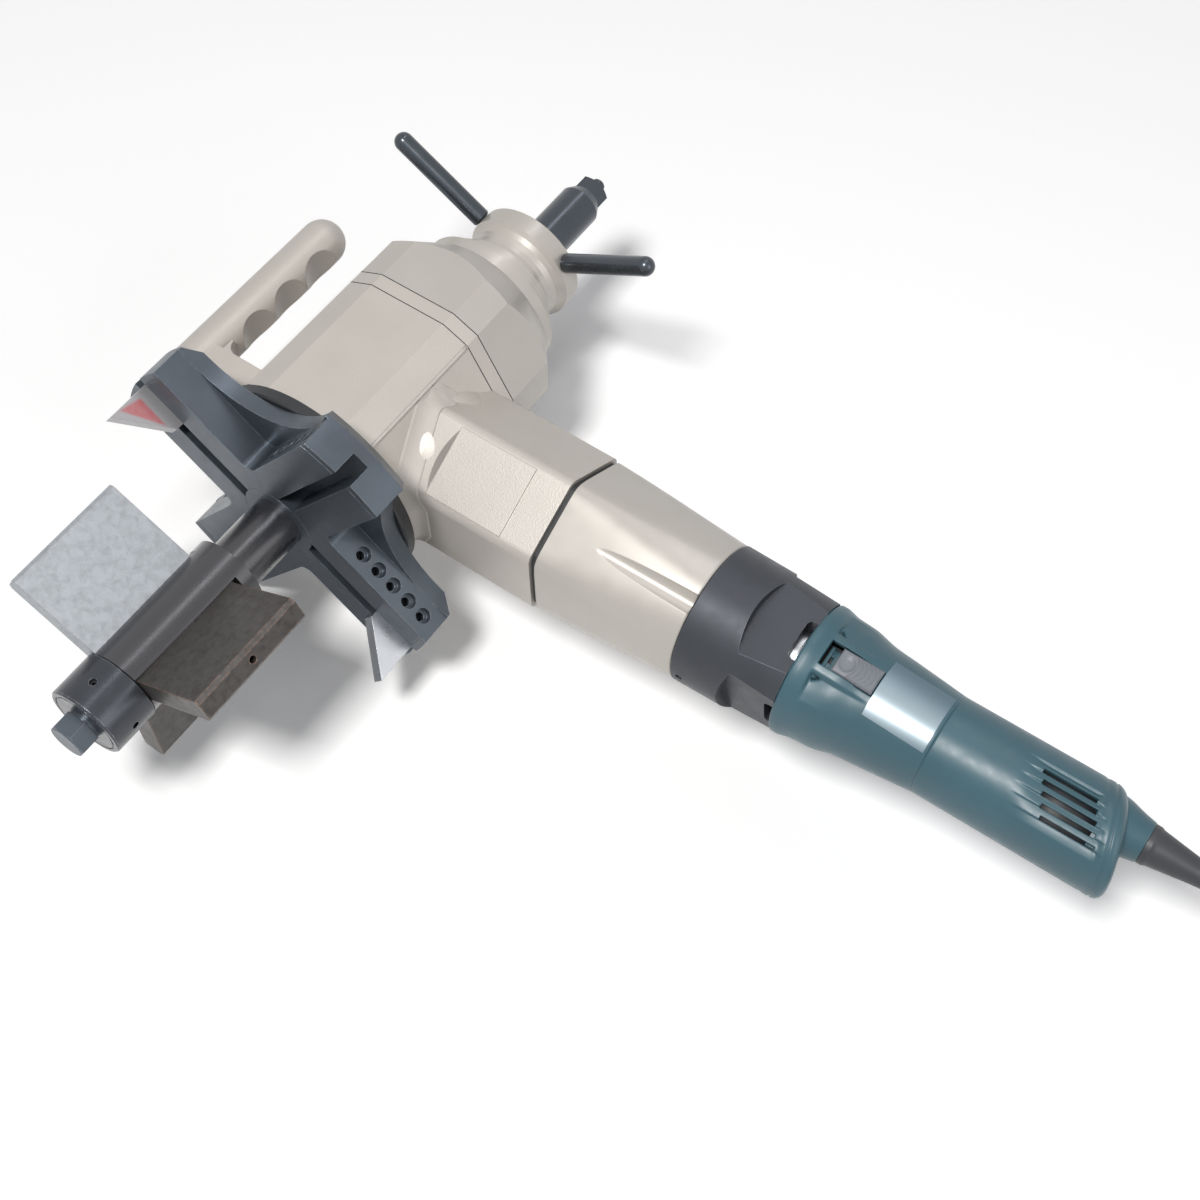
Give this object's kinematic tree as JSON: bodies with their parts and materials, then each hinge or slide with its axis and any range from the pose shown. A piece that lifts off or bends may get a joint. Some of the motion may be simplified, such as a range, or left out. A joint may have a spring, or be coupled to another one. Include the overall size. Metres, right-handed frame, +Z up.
{
  "type": "pipe beveling machine",
  "caption": "Pipe beveller: expanding mandrel with clamping jaws, slotted cross-shaped tool head, side handle, lever feed hub, and a corded angle-grinder motor on an arm.",
  "frame": {"origin": "on the mandrel's axis at the middle of the clamping jaws", "axes": "-Y to the front along the mandrel, into the pipe; +X along the motor arm; +Z up"},
  "size_m": [1.0452, 0.5694, 0.2457],
  "materials": {
    "silver_paint": "fine satin paint over a casting",
    "blued_steel": "blued, satin",
    "dark_steel": "black oxide, satin",
    "bright_steel": "ground",
    "worn_steel": "worn, with rust at the edges",
    "tool_steel": "ground along the cutting edge",
    "black_plastic": "matte",
    "motor_plastic": "semi-gloss",
    "grey_plastic": "matte",
    "label_film": "satin film, bare",
    "cord_rubber": "matte",
    "bronze": "machined",
    "copper": "machined"
  },
  "bodies": {
    "mandrel": {"mandrel_tube": "dark_steel", "front_collar": "dark_steel", "collar_screws": "dark_steel", "front_plug": "blued_steel", "thrust_washer": "bronze"},
    "draw_rod": {"draw_rod": "bright_steel", "wedge_core": "bright_steel"},
    "jaw_1": {"jaw_1": "bright_steel"},
    "jaw_2": {"jaw_2": "worn_steel"},
    "jaw_3": {"jaw_3": "worn_steel"},
    "tension_nut": {"tension_nut": "blued_steel"},
    "housing": {"housing_body": "silver_paint", "flange_ring": "silver_paint", "guide_sleeve": "blued_steel", "guide_key": "bright_steel", "rear_cover": "silver_paint", "case_screws": "dark_steel", "spindle_bearing_outers": "bright_steel", "spindle_bearing_balls": "bright_steel", "dust_ring": "black_plastic", "hub_bush": "bronze", "arm_seal_ring": "black_plastic", "arm_nose": "silver_paint", "ring_gear": "bright_steel", "bearing_plate": "silver_paint", "shaft_bearings": "bright_steel", "adapter_collar": "dark_steel", "adapter_screws": "dark_steel", "motor_neck": "bright_steel", "motor_front_housing": "motor_plastic", "motor_rear_housing": "motor_plastic", "stator": "dark_steel", "brush_holders": "bronze", "label_plate": "label_film", "cord_clamp": "motor_plastic", "strain_relief": "cord_rubber", "cord_run": "cord_rubber", "cord_coil": "cord_rubber", "cord_tail": "cord_rubber", "plug": "cord_rubber"},
    "switch_slider": {"switch_slider": "grey_plastic"},
    "tool_head": {"spindle_sleeve": "bright_steel", "crown_gear": "bright_steel", "spindle_bearing_inners": "bright_steel", "tool_head": "blued_steel", "set_screws": "dark_steel"},
    "tool_bit_a": {"tool_bit_a": "tool_steel"},
    "tool_bit_b": {"tool_bit_b": "tool_steel"},
    "pinion_carrier": {"pinion_carrier": "bright_steel"},
    "planet_gear_1": {"planet_gear_1": "bright_steel"},
    "planet_gear_2": {"planet_gear_2": "bright_steel"},
    "planet_gear_3": {"planet_gear_3": "bright_steel"},
    "armature": {"sun_shaft": "bright_steel", "armature": "dark_steel", "commutator": "copper", "fan": "black_plastic"},
    "feed_hub": {"feed_hub": "silver_paint", "feed_lever_1": "blued_steel", "feed_lever_2": "blued_steel", "feed_lever_3": "blued_steel"}
  },
  "joints": [
    {"name": "hub_turn", "type": "hinge", "parent": "housing", "child": "feed_hub", "pos_m": [0, 0.38, 0], "axis": [0, -1, 0], "range_deg": [0, 3600]},
    {"name": "housing_feed", "type": "slide", "parent": "mandrel", "child": "housing", "axis": [0, -1, 0], "range_m": [0, 0.04]},
    {"name": "nut_turn", "type": "hinge", "parent": "mandrel", "child": "tension_nut", "pos_m": [0, 0.42, 0], "axis": [0, -1, 0], "range_deg": [0, 3600]},
    {"name": "rod_slide", "type": "slide", "parent": "mandrel", "child": "draw_rod", "axis": [0, 1, 0], "range_m": [0, 0.02]},
    {"name": "jaw_1_slide", "type": "slide", "parent": "mandrel", "child": "jaw_1", "axis": [-0.866, 0, 0.5], "range_m": [0, 0.005]},
    {"name": "jaw_2_slide", "type": "slide", "parent": "mandrel", "child": "jaw_2", "axis": [0.866, 0, 0.5], "range_m": [0, 0.005]},
    {"name": "jaw_3_slide", "type": "slide", "parent": "mandrel", "child": "jaw_3", "axis": [0, 0, -1], "range_m": [0, 0.005]},
    {"name": "head_spin", "type": "hinge", "parent": "housing", "child": "tool_head", "pos_m": [0, 0.14, 0], "axis": [0, 1, 0], "continuous": true},
    {"name": "pinion_spin", "type": "hinge", "parent": "housing", "child": "pinion_carrier", "pos_m": [0, 0.208, 0], "axis": [1, 0, 0], "continuous": true},
    {"name": "planet_1_spin", "type": "hinge", "parent": "pinion_carrier", "child": "planet_gear_1", "pos_m": [0.19, 0.2278, 0], "axis": [1, 0, 0], "continuous": true},
    {"name": "planet_2_spin", "type": "hinge", "parent": "pinion_carrier", "child": "planet_gear_2", "pos_m": [0.19, 0.1981, 0.01715], "axis": [1, 0, 0], "continuous": true},
    {"name": "planet_3_spin", "type": "hinge", "parent": "pinion_carrier", "child": "planet_gear_3", "pos_m": [0.19, 0.1981, -0.01715], "axis": [1, 0, 0], "continuous": true},
    {"name": "armature_spin", "type": "hinge", "parent": "housing", "child": "armature", "pos_m": [0, 0.208, 0], "axis": [1, 0, 0], "continuous": true},
    {"name": "bit_a_slide", "type": "slide", "parent": "tool_head", "child": "tool_bit_a", "axis": [-0.788, 0, 0.6157], "range_m": [-0.005, 0.005]},
    {"name": "bit_b_slide", "type": "slide", "parent": "tool_head", "child": "tool_bit_b", "axis": [0.788, 0, -0.6157], "range_m": [-0.005, 0.005]},
    {"name": "switch_slide", "type": "slide", "parent": "housing", "child": "switch_slider", "axis": [-1, 0, 0], "range_m": [0, 0.008]}
  ],
  "couplings": [
    {"joint": "hub_turn", "follows": "housing_feed", "rad_per_m": 1570.8},
    {"joint": "nut_turn", "follows": "rod_slide", "rad_per_m": 3141.6},
    {"joint": "jaw_1_slide", "follows": "rod_slide", "ratio": 0.25},
    {"joint": "jaw_2_slide", "follows": "rod_slide", "ratio": 0.25},
    {"joint": "jaw_3_slide", "follows": "rod_slide", "ratio": 0.25},
    {"joint": "pinion_spin", "follows": "head_spin", "ratio": 3},
    {"joint": "armature_spin", "follows": "head_spin", "ratio": 18},
    {"joint": "planet_1_spin", "follows": "head_spin", "ratio": -7.5},
    {"joint": "planet_2_spin", "follows": "head_spin", "ratio": -7.5},
    {"joint": "planet_3_spin", "follows": "head_spin", "ratio": -7.5}
  ]
}
